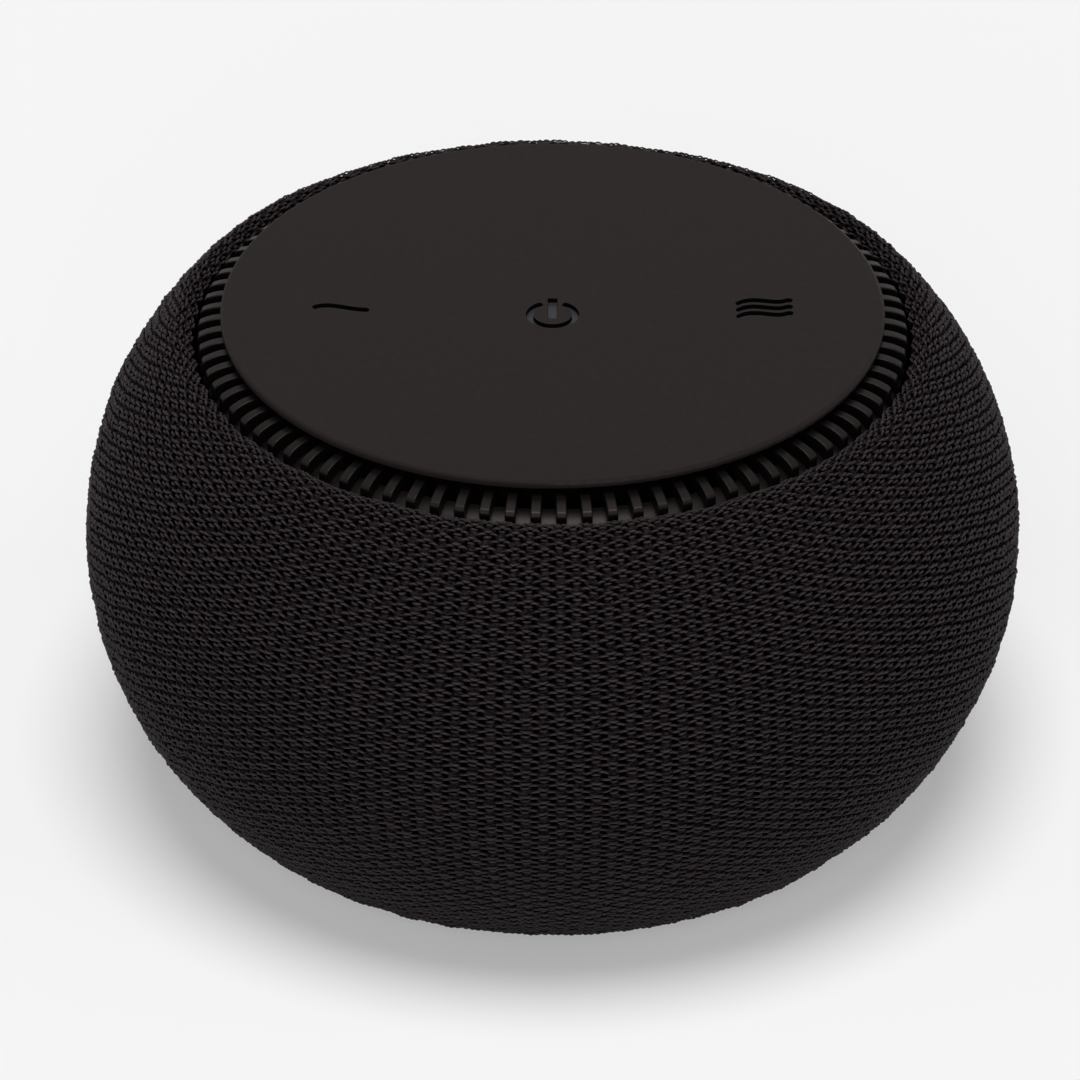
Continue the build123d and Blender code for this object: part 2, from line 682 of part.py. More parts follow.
with BuildPart() as board_screws:
    screw = cross_screw(small_screw_r, small_screw_l, small_head_r, small_head_h)
    with Locations(*[Plane(origin=(x, y, board_under), z_dir=(0, 0, -1)) for x, y in board_corners]):
        add(screw)

# connectors at the board's edges, a controller chip and two capacitors
lead_z = board_top + plug_h / 2
with BuildPart() as board_parts:
    block((-power_plug_w / 2, power_plug_w / 2), (board_w / 2 - plug_l, board_w / 2),
          (board_top, board_top + plug_h))
    block((-board_l / 2, -board_l / 2 + plug_l), (-motor_socket_w / 2, motor_socket_w / 2),
          (board_top, board_top + plug_h))
    block(ribbon_slot_x, (-ribbon_plug_l / 2, ribbon_plug_l / 2), (board_top, board_top + ribbon_plug_h))
    block((chip_at[0] - chip_w / 2, chip_at[0] + chip_w / 2),
          (chip_at[1] - chip_w / 2, chip_at[1] + chip_w / 2), (board_top, board_top + chip_h))
    at_points(capacitor_r, capacitor_at, board_top, board_top + capacitor_h)

# ---------------------------------------------------------------- ring of ribs
rib_root_r = (ring_wall_in + ring_wall_r) / 2
with BuildPart() as rib_blank:
    with BuildSketch(Plane.XZ) as rib_side:
        with BuildLine():
            end_angle = degrees(acos((rib_end_r - rib_crown_r) / rib_curve_r))
            top = Line((rib_root_r, rib_crown_z), (rib_crown_r, rib_crown_z))
            bend = CenterArc((rib_crown_r, rib_centre_z), rib_curve_r, end_angle, 90 - end_angle)
            Polyline(
                bend @ 0,
                (rib_end_r, rib_crown_z - rib_h),
                (rib_root_r, rib_crown_z - rib_h),
                top @ 0,
            )
        make_face()
        fillet(rib_side.vertices().group_by(Axis.X)[-1].sort_by(Axis.Y)[-1], rib_round_r)
    extrude(amount=rib_w / 2, both=True)
    crown = rib_blank.faces().filter_by(Axis.Z).sort_by(Axis.Z)[-1]
    fillet(crown.edges().filter_by(Axis.X), rib_edge_r)

with BuildPart() as vent_ring:
    tube(ring_wall_r, ring_wall_in, lid_top, rib_crown_z - ring_wall_drop)
    tube(drum_r + ring_floor_over, boss_pitch_r - boss_r, lid_top, ring_top)
    # the band that joins the ribs under the lip, and its skirt
    band_in = rib_end_r - band_reach - rib_crown_r
    with BuildSketch(Plane.XZ):
        with BuildLine():
            faces = []
            for depth in (0, band_t):
                arc_r = rib_curve_r - rib_drop - depth
                arc_end = degrees(acos((rib_end_r - depth - rib_crown_r) / arc_r))
                arc_turn = degrees(acos(band_in / arc_r)) - arc_end
                faces.append(CenterArc((rib_crown_r, rib_centre_z), arc_r, arc_end, arc_turn))
            outer, inner = faces
            Line(outer @ 1, inner @ 1)
            Polyline(
                outer @ 0,
                (rib_end_r, rib_crown_z - skirt_h),
                (rib_end_r - band_t, rib_crown_z - skirt_h),
                inner @ 0,
            )
        make_face()
    revolve(axis=Axis.Z)
    with Locations(Location((0, 0, 0), (0, 0, 270 + rib_phase))):
        with PolarLocations(0, rib_count):
            add(rib_blank.part)
    pillars(screw_r, boss_pitch_r, carrier_screw_angles, lid_top, ring_top, mode=Mode.SUBTRACT)

# ---------------------------------------------------------------- carrier, touch board, panel
with BuildPart() as panel_carrier:
    tube(carrier_r, 0, carrier_z, carrier_z + carrier_floor_t)
    tube(carrier_r, carrier_r - carrier_wall, carrier_z, boss_under)
    tube(touch_board_r, touch_board_r - board_seat_w, carrier_z + carrier_floor_t, touch_board_low)
    pillars(carrier_boss_r, boss_pitch_r, carrier_screw_angles, ring_top, carrier_z)
    block(ribbon_slot_x, ribbon_slot_y, (carrier_z, carrier_z + carrier_floor_t), mode=Mode.SUBTRACT)
    pillars(screw_r, boss_pitch_r, carrier_screw_angles, ring_top, carrier_z, mode=Mode.SUBTRACT)
    pillars(screw_head_r + head_fit, boss_pitch_r, carrier_screw_angles, carrier_z, touch_board_low,
            mode=Mode.SUBTRACT)

with BuildPart() as carrier_screws:
    screw = cross_screw(screw_r, carrier_z - core_top + carrier_bite, screw_head_r, screw_head_h)
    with Locations(*on_circle(boss_pitch_r, carrier_screw_angles, carrier_z)):
        add(screw)

with BuildPart() as touch_board:
    tube(touch_board_r, 0, touch_board_low, touch_board_top)

with BuildPart() as touch_leds:
    for k in range(led_row):
        x = (k - (led_row - 1) / 2) * led_pitch
        block((x - led_l / 2, x + led_l / 2), (sign_shift - led_w / 2, sign_shift + led_w / 2),
              (touch_board_top, touch_board_top + led_h))

# centre lines of the signs, about their own middles
low_wave = [(-3.6, 0.1), (-2.2, 0.5), (0.25, 0.0), (2.0, -0.5), (3.6, -0.75)]
high_wave = [(-3.6, -0.6), (-1.3, 0.3), (1.4, -0.15), (3.6, 0.3)]


def wave_sign(points, middle, stroke):
    """One wave: a bent stroke with round ends."""
    line_points = [(middle[0] + x, middle[1] + y) for x, y in points]
    with BuildLine() as wave:
        Spline(*line_points)
    trace(wave.line, stroke)
    with Locations(line_points[0], line_points[-1]):
        Circle(stroke / 2)


def signs(shrink):
    """All three signs in the sketch that is open, each stroke narrower by the given amount."""
    wave_sign(low_wave, (-sign_spread, sign_shift), wave_stroke - shrink)
    for row in (-1, 0, 1):
        wave_sign(high_wave, (sign_spread, sign_shift + row * wave_pitch), wave_stroke - shrink)
    with Locations((0, sign_shift + power_bar_shift)):
        Rectangle(power_bar_w - shrink, power_bar_l - shrink)
    ring_y = sign_shift + power_ring_shift
    with BuildLine() as ring:
        arc = CenterArc((0, ring_y), power_ring_r, 90 + power_gap_angle / 2, 360 - power_gap_angle)
    trace(ring.line, power_ring_stroke - shrink)
    with Locations(arc @ 0, arc @ 1):
        Circle((power_ring_stroke - shrink) / 2)


guide_l = 2 * (sign_spread + guide_past)
with BuildPart() as touch_panel:
    tube(panel_r, 0, panel_under, body_h)
    fillet(touch_panel.edges().group_by(Axis.Z)[-1], panel_round_r)
    fillet(touch_panel.edges().group_by(Axis.Z)[0], panel_low_round_r)
    tube(carrier_r, 0, boss_under, (panel_under + body_h) / 2)
    block((-guide_l / 2 - sign_fit, guide_l / 2 + sign_fit),
          (sign_shift - guide_w / 2 - sign_fit, sign_shift + guide_w / 2 + sign_fit),
          (boss_under, boss_under + guide_t), mode=Mode.SUBTRACT)
    with BuildSketch(Plane.XY.offset(boss_under)):
        signs(0)
    extrude(amount=panel_boss_t, mode=Mode.SUBTRACT)

with BuildPart() as light_guide:
    block((-guide_l / 2, guide_l / 2), (sign_shift - guide_w / 2, sign_shift + guide_w / 2),
          (boss_under, boss_under + guide_t))
    with BuildSketch(Plane.XY.offset(boss_under + guide_t)):
        signs(2 * sign_fit)
    extrude(amount=panel_boss_t - guide_t - sign_depth)

# ---------------------------------------------------------------- wiring
# supply lead: up from the inlet, then forward into the board's rear connector
with BuildPart() as power_lead:
    with BuildLine() as path:
        FilletPolyline((0, inlet_y, jack_top), (0, inlet_y, lead_z), (0, board_w / 2, lead_z),
                       radius=lead_bend)
    with BuildSketch(Plane((0, inlet_y, jack_top))):
        Circle(lead_r)
    sweep(path=path.line)

# motor lead: out from the motor board, up, and into the side connector
motor_plug_z = motor_board_low - motor_plug_h / 2
lead_x = -board_l / 2 - motor_lead_out
with BuildPart() as motor_lead:
    with BuildLine() as path:
        FilletPolyline(
            (motor_plug_x, 0, motor_plug_z), (lead_x, 0, motor_plug_z), (lead_x, 0, lead_z),
            (-board_l / 2, 0, lead_z), radius=motor_lead_bend,
        )
    with BuildSketch(Plane((motor_plug_x, 0, motor_plug_z), z_dir=(-1, 0, 0))):
        Circle(motor_lead_r)
    sweep(path=path.line)

# flat flex from the control board up to the touch board
with BuildPart() as touch_ribbon:
    block((-ribbon_w / 2, ribbon_w / 2), (-ribbon_t / 2, ribbon_t / 2),
          (board_top + ribbon_plug_h, touch_board_low))

# ---------------------------------------------------------------- shell, drum, knit
with BuildPart() as outer_shell:
    with BuildSketch(Plane.XZ):
        with BuildLine():
            outer_hem, outer_mouth = skin_arcs(knit_t)
            depth = knit_t + shell_t
            mouth_in = lip_c[0] - lip_r + knit_t
            turn = degrees(acos((mouth_in - side_c[0]) / (side_r - depth)))
            inner_tuck = CenterArc(tuck_c, tuck_r - depth, -90, 90 + tuck_angle)
            inner_side = CenterArc(side_c, side_r - depth, tuck_angle, turn - tuck_angle)
            Line(inner_side @ 1, outer_mouth)
            Line(inner_tuck @ 0, outer_hem)
        make_face()
    revolve(axis=Axis.Z)
    tube(side_at(ledge_low, knit_t + shell_t / 2), ledge_in, ledge_low, ledge_high)
    pillars(small_screw_r, drum_screw_r, drum_screw_angles, ledge_low, ledge_high, mode=Mode.SUBTRACT)
    spokes(hem_r, body_r, shell_slot_w, all_round(shell_slot_count),
           ledge_high + shell_slot_margin, lip_z - shell_slot_margin, mode=Mode.SUBTRACT)

with BuildPart() as hem_ring:
    tube(hem_r, hem_ring_in, hem_ring_low, ledge_low)

with BuildPart() as tone_drum:
    tube(drum_r, drum_in, ledge_high, lid_top - drum_top_gap)
    tube(drum_flange_r, drum_in, ledge_high, ledge_high + drum_flange_t)
    # lug that meets the ends of the plinth's pocket
    sector(plinth_r - glide_margin, drum_in + glide_in_fit, 270 - stop_angle / 2, stop_angle,
           shoulder_z - stop_depth, ledge_high + drum_flange_t)
    pillars(small_screw_r, drum_screw_r, drum_screw_angles, ledge_high, ledge_high + drum_flange_t,
            mode=Mode.SUBTRACT)
    spokes(drum_in - past, drum_r + past, port_slot_w, port_angles(), *port_z, mode=Mode.SUBTRACT)

with BuildPart() as drum_screws:
    screw = cross_screw(small_screw_r, drum_flange_t + drum_bite, small_head_r, small_head_h)
    with Locations(*on_circle(drum_screw_r, drum_screw_angles, ledge_high + drum_flange_t)):
        add(screw)

with BuildPart() as knit_sleeve:
    with BuildSketch(Plane.XZ):
        with BuildLine():
            outer_hem, outer_mouth = skin_arcs(0)
            inner_hem, inner_mouth = skin_arcs(knit_t)
            Line(outer_hem, inner_hem)
            Line(outer_mouth, inner_mouth)
        make_face()
    revolve(axis=Axis.Z)

# ---------------------------------------------------------------- files
sub_parts = {
    "foot_pads": foot_pads,
    "base_plate": base_plate,
    "base_screws": base_screws,
    "glide_ring": glide_ring,
    "dc_inlet": dc_inlet,
    "core_housing": core_housing,
    "core_lid": core_lid,
    "lid_screws": lid_screws,
    "motor_bracket": motor_bracket,
    "isolation_grommets": isolation_grommets,
    "motor_screws": motor_screws,
    "bearing_tube": bearing_tube,
    "sleeve_bearing": sleeve_bearing,
    "motor_board": motor_board,
    "stator_core": stator_core,
    "stator_windings": stator_windings,
    "rotor_cup": rotor_cup,
    "rotor_magnet": rotor_magnet,
    "motor_shaft": motor_shaft,
    "shaft_clip": shaft_clip,
    "fan_impeller": fan_impeller,
    "main_board": main_board,
    "board_screws": board_screws,
    "board_parts": board_parts,
    "vent_ring": vent_ring,
    "panel_carrier": panel_carrier,
    "carrier_screws": carrier_screws,
    "touch_board": touch_board,
    "touch_leds": touch_leds,
    "touch_panel": touch_panel,
    "light_guide": light_guide,
    "power_lead": power_lead,
    "motor_lead": motor_lead,
    "touch_ribbon": touch_ribbon,
    "outer_shell": outer_shell,
    "hem_ring": hem_ring,
    "tone_drum": tone_drum,
    "drum_screws": drum_screws,
    "knit_sleeve": knit_sleeve,
}

os.makedirs("parts", exist_ok=True)
for name, sub_part in sub_parts.items():
    sub_part.part.label = name
    export_step(sub_part.part, f"parts/{name}.step")
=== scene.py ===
# %% [markdown]
# # A round sound machine in a knitted cover
# The machine is a squat round body with a flat touch plate on top. The plate stands over a ring of
# fine ribs, and a tubular knit is stretched over the rest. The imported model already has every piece
# at its real size, so this lesson dresses it: it knits the cover stitch by stitch and gives each
# piece a finish. Everything is in metres, with +Z up and the front towards -Y.

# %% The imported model
import json
from math import atan2, cos, hypot, pi, radians, sin, tau

import bmesh
import bpy
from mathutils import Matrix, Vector, noise


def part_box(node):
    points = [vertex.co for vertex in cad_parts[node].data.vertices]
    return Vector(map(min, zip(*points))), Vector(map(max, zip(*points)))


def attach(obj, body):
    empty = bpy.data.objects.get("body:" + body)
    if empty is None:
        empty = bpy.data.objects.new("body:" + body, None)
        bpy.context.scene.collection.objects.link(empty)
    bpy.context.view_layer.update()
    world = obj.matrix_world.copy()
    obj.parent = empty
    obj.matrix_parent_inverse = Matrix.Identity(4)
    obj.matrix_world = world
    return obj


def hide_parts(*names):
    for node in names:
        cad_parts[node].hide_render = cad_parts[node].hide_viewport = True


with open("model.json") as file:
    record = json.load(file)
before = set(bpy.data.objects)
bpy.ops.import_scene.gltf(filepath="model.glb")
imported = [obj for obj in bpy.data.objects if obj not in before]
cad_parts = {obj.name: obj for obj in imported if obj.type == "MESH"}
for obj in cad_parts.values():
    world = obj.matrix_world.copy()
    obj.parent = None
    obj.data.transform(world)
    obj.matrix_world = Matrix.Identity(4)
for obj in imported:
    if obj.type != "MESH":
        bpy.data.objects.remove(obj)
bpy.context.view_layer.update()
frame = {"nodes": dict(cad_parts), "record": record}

nodes = frame["nodes"]
MM = 0.001
print("pieces in the frame:", len(nodes))

# %% [markdown]
# ## The camera
# A long lens keeps the round plate an even ellipse, so the camera stands nearly a metre away and
# looks down at about a third of a right angle. It could be aimed with a Track To constraint, but two
# angles say the same in one line each, and nothing is left to be evaluated later.

# %% Camera
IMAGE_PX = 1080
LENS_PX = 6120.6                      # focal length, in pixels of the image
PLATE_PX = (552.6, 304.7)             # where the middle of the touch plate lands
PLATE_DISTANCE = 900 * MM
PLATE_DEPRESSION = radians(30.7)      # slope of the line from the lens down to the plate
SENSOR_WIDTH = 36                     # millimetres
VIEW_REACH = 50                       # metres

plate_centre = Vector((0, 0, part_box("touch_panel")[1].z))
plate_up = IMAGE_PX / 2 - PLATE_PX[1]
plate_aside = PLATE_PX[0] - IMAGE_PX / 2
tilt = PLATE_DEPRESSION + atan2(plate_up, LENS_PX)
turn = atan2(plate_aside, hypot(LENS_PX, plate_up) * cos(PLATE_DEPRESSION))

camera_data = bpy.data.cameras.new("camera")
camera_data.sensor_width = SENSOR_WIDTH
camera_data.lens = SENSOR_WIDTH * LENS_PX / IMAGE_PX
camera_data.clip_end = VIEW_REACH
camera = bpy.data.objects.new("camera", camera_data)
back = Vector((0, -cos(PLATE_DEPRESSION), sin(PLATE_DEPRESSION)))
camera.location = plate_centre + PLATE_DISTANCE * back
camera.rotation_euler = (pi / 2 - tilt, 0, turn)
bpy.context.scene.collection.objects.link(camera)
bpy.context.scene.camera = camera
print("lens:", round(camera_data.lens, 1), "mm")

# %% [markdown]
# ## Small tools for materials
# Each finish is a Principled shader fed by a few nodes. These helpers place the nodes that come up
# again and again, so that a finish reads as a short list of what it is made of.

# %% Material tools
def new_material(name):
    """A material, its node tree, its Principled shader and its texture coordinates."""
    material = bpy.data.materials.new(name)
    material.use_nodes = True
    tree = material.node_tree
    return material, tree, tree.nodes["Principled BSDF"], tree.nodes.new("ShaderNodeTexCoord")


def plug(tree, source, socket):
    """Sets a socket from another socket or from a plain value."""
    if isinstance(source, bpy.types.NodeSocket):
        tree.links.new(source, socket)
    else:
        socket.default_value = source


def calculate(tree, operation, first, second=0.0):
    """One Math node."""
    node = tree.nodes.new("ShaderNodeMath")
    node.operation = operation
    plug(tree, first, node.inputs[0])
    plug(tree, second, node.inputs[1])
    return node.outputs[0]


def between(tree, factor, low, high):
    """A colour between two colours."""
    node = tree.nodes.new("ShaderNodeMix")
    node.data_type = "RGBA"
    plug(tree, factor, node.inputs["Factor"])
    plug(tree, low, node.inputs[6])
    plug(tree, high, node.inputs[7])
    return node.outputs[2]


def remap(tree, value, low, high):
    """A value from 0..1 stretched over low..high."""
    node = tree.nodes.new("ShaderNodeMapRange")
    plug(tree, value, node.inputs["Value"])
    node.inputs["To Min"].default_value = low
    node.inputs["To Max"].default_value = high
    return node.outputs[0]


def picked_out(tree, value, low, high):
    """A value's range low..high stretched over 0..1."""
    node = tree.nodes.new("ShaderNodeMapRange")
    node.inputs["From Min"].default_value = low
    node.inputs["From Max"].default_value = high
    plug(tree, value, node.inputs["Value"])
    return node.outputs[0]


def noise_of(tree, vector, scale, detail=2.0, roughness=0.5):
    """A noise pattern's value, about 0.5 in the middle."""
    node = tree.nodes.new("ShaderNodeTexNoise")
    plug(tree, vector, node.inputs["Vector"])
    plug(tree, scale, node.inputs["Scale"])
    node.inputs["Detail"].default_value = detail
    node.inputs["Roughness"].default_value = roughness
    return node.outputs["Fac"]


def bumped(tree, shader, height, depth):
    """Feeds a height, in parts of a depth in metres, to the shader's normal."""
    node = tree.nodes.new("ShaderNodeBump")
    node.inputs["Distance"].default_value = depth
    plug(tree, height, node.inputs["Height"])
    tree.links.new(node.outputs[0], shader.inputs["Normal"])


def new_group(name, inputs, outputs):
    """An empty node group with named sockets; returns it with its input and output nodes."""
    group = bpy.data.node_groups.new(name, "ShaderNodeTree")
    for label, kind in inputs:
        group.interface.new_socket(label, in_out="INPUT", socket_type=kind)
    for label in outputs:
        group.interface.new_socket(label, in_out="OUTPUT", socket_type="NodeSocketFloat")
    return group, group.nodes.new("NodeGroupInput"), group.nodes.new("NodeGroupOutput")


def use_group(tree, group, **values):
    """Places a group in a tree with its values; spaces in socket names are underscores here."""
    node = tree.nodes.new("ShaderNodeGroup")
    node.node_tree = group
    for label, value in values.items():
        plug(tree, value, node.inputs[label.replace("_", " ")])
    return node.outputs


# %% [markdown]
# ## Shared effects
# Three effects are shared by many finishes, so they are node groups: the fine grain of a moulded
# surface, the dust that settles on faces that look up, and the filaments of a yarn. A group gives out
# only masks and heights. The shader stays in the material, where each finish sets its own constants.

# %% Shared effects
PATCH_SCALE = 0.03                    # scale of the patches, in parts of the grain's own
SPECK_SCALE = 900.0                   # noise scales are in waves to the metre
WANDER_SCALE = 2600.0
YARN_PATCH_SCALE = 650.0
YARN_TWIST = 0.9                      # how far the filaments cross over along one yarn
END_SLOPE = 4.0                       # the painted shade at a yarn's ends spreads over a quarter of its length
CREST_SHARPNESS = 1.6

grain, grain_in, grain_out = new_group(
    "moulded_grain", [("Vector", "NodeSocketVector"), ("Scale", "NodeSocketFloat")], ["Height", "Patches"]
)
fine = noise_of(grain, grain_in.outputs["Vector"], grain_in.outputs["Scale"], detail=3.0, roughness=0.6)
coarse_scale = calculate(grain, "MULTIPLY", grain_in.outputs["Scale"], PATCH_SCALE)
coarse = noise_of(grain, grain_in.outputs["Vector"], coarse_scale, detail=4.0)
grain.links.new(fine, grain_out.inputs["Height"])
grain.links.new(coarse, grain_out.inputs["Patches"])

dust, dust_in, dust_out = new_group(
    "settled_dust", [("Vector", "NodeSocketVector"), ("Amount", "NodeSocketFloat")], ["Mask"]
)
facing = dust.nodes.new("ShaderNodeNewGeometry")
parts = dust.nodes.new("ShaderNodeSeparateXYZ")
dust.links.new(facing.outputs["Normal"], parts.inputs[0])
upward = calculate(dust, "MAXIMUM", parts.outputs["Z"], 0.0)
specks = noise_of(dust, dust_in.outputs["Vector"], SPECK_SCALE, detail=6.0, roughness=0.7)
specks = calculate(dust, "POWER", specks, 3.0)
lying = calculate(dust, "MULTIPLY", upward, specks)
dust.links.new(calculate(dust, "MULTIPLY", lying, dust_in.outputs["Amount"]), dust_out.inputs["Mask"])

filaments, fil_in, fil_out = new_group(
    "yarn_filaments",
    [("UV", "NodeSocketVector"), ("Place", "NodeSocketVector"), ("Count", "NodeSocketFloat")],
    ["Height", "Shade", "Crest_shading"],
)
along = filaments.nodes.new("ShaderNodeSeparateXYZ")
filaments.links.new(fil_in.outputs["UV"], along.inputs[0])
wander = noise_of(filaments, fil_in.outputs["Place"], WANDER_SCALE, detail=2.0)
twist = calculate(filaments, "MULTIPLY", along.outputs["X"], YARN_TWIST)
across = calculate(filaments, "ADD", along.outputs["Y"], twist)
across = calculate(filaments, "ADD", across, wander)
phase = calculate(filaments, "MULTIPLY", across, fil_in.outputs["Count"])
ridges = calculate(filaments, "SINE", calculate(filaments, "MULTIPLY", phase, tau))
ridges = calculate(filaments, "ADD", calculate(filaments, "MULTIPLY", ridges, 0.5), 0.5)
patchy = noise_of(filaments, fil_in.outputs["Place"], YARN_PATCH_SCALE, detail=3.0)
filaments.links.new(ridges, fil_out.inputs["Height"])
filaments.links.new(patchy, fil_out.inputs["Shade"])
# Painted highlight and shade: a mask that is 1 along the top of a yarn and falls to 0 at its sides and
# ends, where its neighbours shade it.
side_shade = calculate(filaments, "PINGPONG", along.outputs["Y"], 0.5)
end_shade = calculate(filaments, "PINGPONG", along.outputs["X"], 0.5)
side_shade = calculate(filaments, "MULTIPLY", side_shade, 2.0)
end_shade = calculate(filaments, "MINIMUM", calculate(filaments, "MULTIPLY", end_shade, END_SLOPE), 1.0)
crest_shading = calculate(filaments, "MULTIPLY", side_shade, end_shade)
filaments.links.new(calculate(filaments, "POWER", crest_shading, CREST_SHARPNESS), fil_out.inputs["Crest_shading"])
print("shared effects:", [g.name for g in bpy.data.node_groups])

# %% [markdown]
# ## Floor and light
# The machine stands on a pale sweep. A sun lamp with a wide angle is a softbox that is equally bright
# everywhere on the floor, so the floor stays even and only the object's own shadow marks it. The
# large one hangs nearly overhead and draws a short soft shadow under the belly. One stands in front
# and two at the sides, and the world fills in the rest. The world shows its pale colour to camera,
# mirror and glass rays alone, so it can't wash out the dark surfaces. The floor does the same in
# part, which keeps its shadow light without any more light on the object.

# %% Floor and light
FLOOR_COLOUR = (0.92, 0.92, 0.92, 1)
FLOOR_ROUGHNESS = 0.9
FLOOR_SIZE = 30.0
FLOOR_GLOW = 0.33                     # part of the floor's colour that the camera sees unshaded
FILL_STRENGTH = 0.05

scene = bpy.context.scene
scene.view_settings.view_transform = "Standard"


def soft_sun(name, azimuth, elevation, strength, width):
    """A sun that shines from a compass direction, in degrees from +X, and a height over the floor."""
    data = bpy.data.lights.new(name, "SUN")
    data.energy = strength
    data.angle = radians(width)
    lamp = bpy.data.objects.new(name, data)
    lamp.rotation_euler = (0, pi / 2 - radians(elevation), radians(azimuth))
    scene.collection.objects.link(lamp)


soft_sun("softbox_over", azimuth=275, elevation=81, strength=2.33, width=31)
soft_sun("softbox_front", azimuth=264, elevation=26, strength=1.00, width=46)
soft_sun("softbox_left", azimuth=196, elevation=40, strength=0.16, width=40)
soft_sun("softbox_right", azimuth=344, elevation=40, strength=0.22, width=40)


def shown_to_camera(tree, lit, plain, share=1.0):
    """Mixes two shaders: plain for camera, mirror and glass rays, up to a share, and lit for the rest."""
    rays = tree.nodes.new("ShaderNodeLightPath").outputs
    straight = calculate(tree, "MAXIMUM", rays["Is Camera Ray"], rays["Is Glossy Ray"])
    straight = calculate(tree, "MAXIMUM", straight, rays["Is Transmission Ray"])
    part = calculate(tree, "MULTIPLY", straight, share)
    seen = tree.nodes.new("ShaderNodeMixShader")
    tree.links.new(part, seen.inputs["Fac"])
    tree.links.new(lit, seen.inputs[1])
    tree.links.new(plain, seen.inputs[2])
    return seen.outputs[0]


world = bpy.data.worlds.new("studio")
scene.world = world
world.use_nodes = True
world_tree = world.node_tree
fill = world_tree.nodes["Background"]
fill.inputs["Color"].default_value = (1, 1, 1, 1)
fill.inputs["Strength"].default_value = FILL_STRENGTH
pale = world_tree.nodes.new("ShaderNodeBackground")
pale.inputs["Color"].default_value = FLOOR_COLOUR
shown = shown_to_camera(world_tree, fill.outputs[0], pale.outputs[0])
world_tree.links.new(shown, world_tree.nodes["World Output"].inputs["Surface"])

floor_paint = bpy.data.materials.new("pale_sweep")
floor_paint.use_nodes = True
paint_tree = floor_paint.node_tree
paint = paint_tree.nodes["Principled BSDF"]
paint.inputs["Base Color"].default_value = FLOOR_COLOUR
paint.inputs["Roughness"].default_value = FLOOR_ROUGHNESS
paint.inputs["Specular IOR Level"].default_value = 0.0
glow = paint_tree.nodes.new("ShaderNodeEmission")
glow.inputs["Color"].default_value = FLOOR_COLOUR
shown = shown_to_camera(paint_tree, paint.outputs[0], glow.outputs[0], FLOOR_GLOW)
paint_tree.links.new(shown, paint_tree.nodes["Material Output"].inputs["Surface"])

floor_mesh = bpy.data.meshes.new("floor")
floor_bm = bmesh.new()
bmesh.ops.create_grid(floor_bm, x_segments=1, y_segments=1, size=FLOOR_SIZE / 2)
floor_bm.to_mesh(floor_mesh)
floor_bm.free()
floor_mesh.materials.append(floor_paint)
floor = bpy.data.objects.new("floor", floor_mesh)
scene.collection.objects.link(floor)

# %% [markdown]
# ## The knit, worked flat
# The cover is a warp knit: a fine net with a row of small raised stitches round every hole. Every
# other column of holes is shifted by half a stitch. Such cloth could be painted on with a bump, but
# its holes are deep and its yarns stand out at the edge of the body, so here the stitches are
# mesh. One repeat, two columns wide, is worked flat like a swatch. It is bent over the body's side
# and then turned round the axis, and that makes the tube. A cover of seven thousand stitches is split
# by kind of yarn, so that no piece gets too heavy.

# %% Stitch sizes
COLUMNS = 174                         # columns of holes round the body
ROWS = 42                             # stitches from the inside of the mouth to the hem
COLUMN_W = 2.31 * MM                  # at the belly
COLUMN_TURN = tau / COLUMNS

LIP_END = 0.74588                     # the angles at which one arc runs on into the next
SIDE_END = -0.80755
LIP = (54.9 * MM, 73.4 * MM, 2.3 * MM, pi, LIP_END)           # centre r, centre z, radius, from, to
SIDE = (19.491 * MM, 40.685 * MM, 50.509 * MM, LIP_END, SIDE_END)
TUCK = (50.95 * MM, 7.8 * MM, 5.0 * MM, SIDE_END, -pi / 2)
SKIN = (LIP, SIDE, TUCK)              # the cover's outer face, as three arcs
skin_length = sum(arc[2] * (arc[3] - arc[4]) for arc in SKIN)
ROW_H = skin_length / ROWS

SLOW_SCALE = 110.0                    # of the irregularity, in waves to the metre
SLOW_SWAY = 0.20 * MM
QUICK_SCALE = 420.0
QUICK_SWAY = 0.25 * MM
SWAY_SEED = 1
WELD = 0.005 * MM
noise.seed_set(SWAY_SEED)             # unseeded, the vector noise follows the clock
print("one stitch is", round(COLUMN_W / MM, 2), "by", round(ROW_H / MM, 2), "mm")


def wrapped(point):
    """A point of the flat swatch, carried to the body: x goes round, y down the side, z outwards."""
    left = point.y
    for arc in SKIN:
        centre_r, centre_z, radius, start, end = arc
        length = radius * (start - end)
        if left <= length or arc is TUCK:
            break
        left -= length
    angle = start - left / radius
    out = radius + point.z
    around = point.x / COLUMN_W * COLUMN_TURN
    r = centre_r + out * cos(angle)
    return Vector((r * sin(around), -r * cos(around), centre_z + out * sin(angle)))


def uneven(point):
    """A little irregularity, the same for all the yarns at one place."""
    slow = noise.noise_vector(point * SLOW_SCALE)
    quick = noise.noise_vector(point * QUICK_SCALE)
    return point + SLOW_SWAY * slow + QUICK_SWAY * quick


def finish_knit(name, bm):
    """Bends a flat swatch over the body, turns it all the way round and makes it a piece."""
    for vert in bm.verts:
        vert.co = wrapped(vert.co)
    bmesh.ops.spin(
        bm, geom=bm.verts[:] + bm.edges[:] + bm.faces[:], cent=(0, 0, 0), axis=(0, 0, 1),
        angle=tau - 2 * COLUMN_TURN, steps=COLUMNS // 2 - 1, use_duplicate=True,
    )
    bmesh.ops.remove_doubles(bm, verts=bm.verts, dist=WELD)
    for vert in bm.verts:
        vert.co = uneven(vert.co)
    for face in bm.faces:
        face.smooth = True
    bmesh.ops.recalc_face_normals(bm, faces=bm.faces)
    mesh = bpy.data.meshes.new(name)
    bm.to_mesh(mesh)
    bm.free()
    piece = bpy.data.objects.new(name, mesh)
    scene.collection.objects.link(piece)
    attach(piece, "shell")
    print(name, len(mesh.polygons), "faces")
    return piece
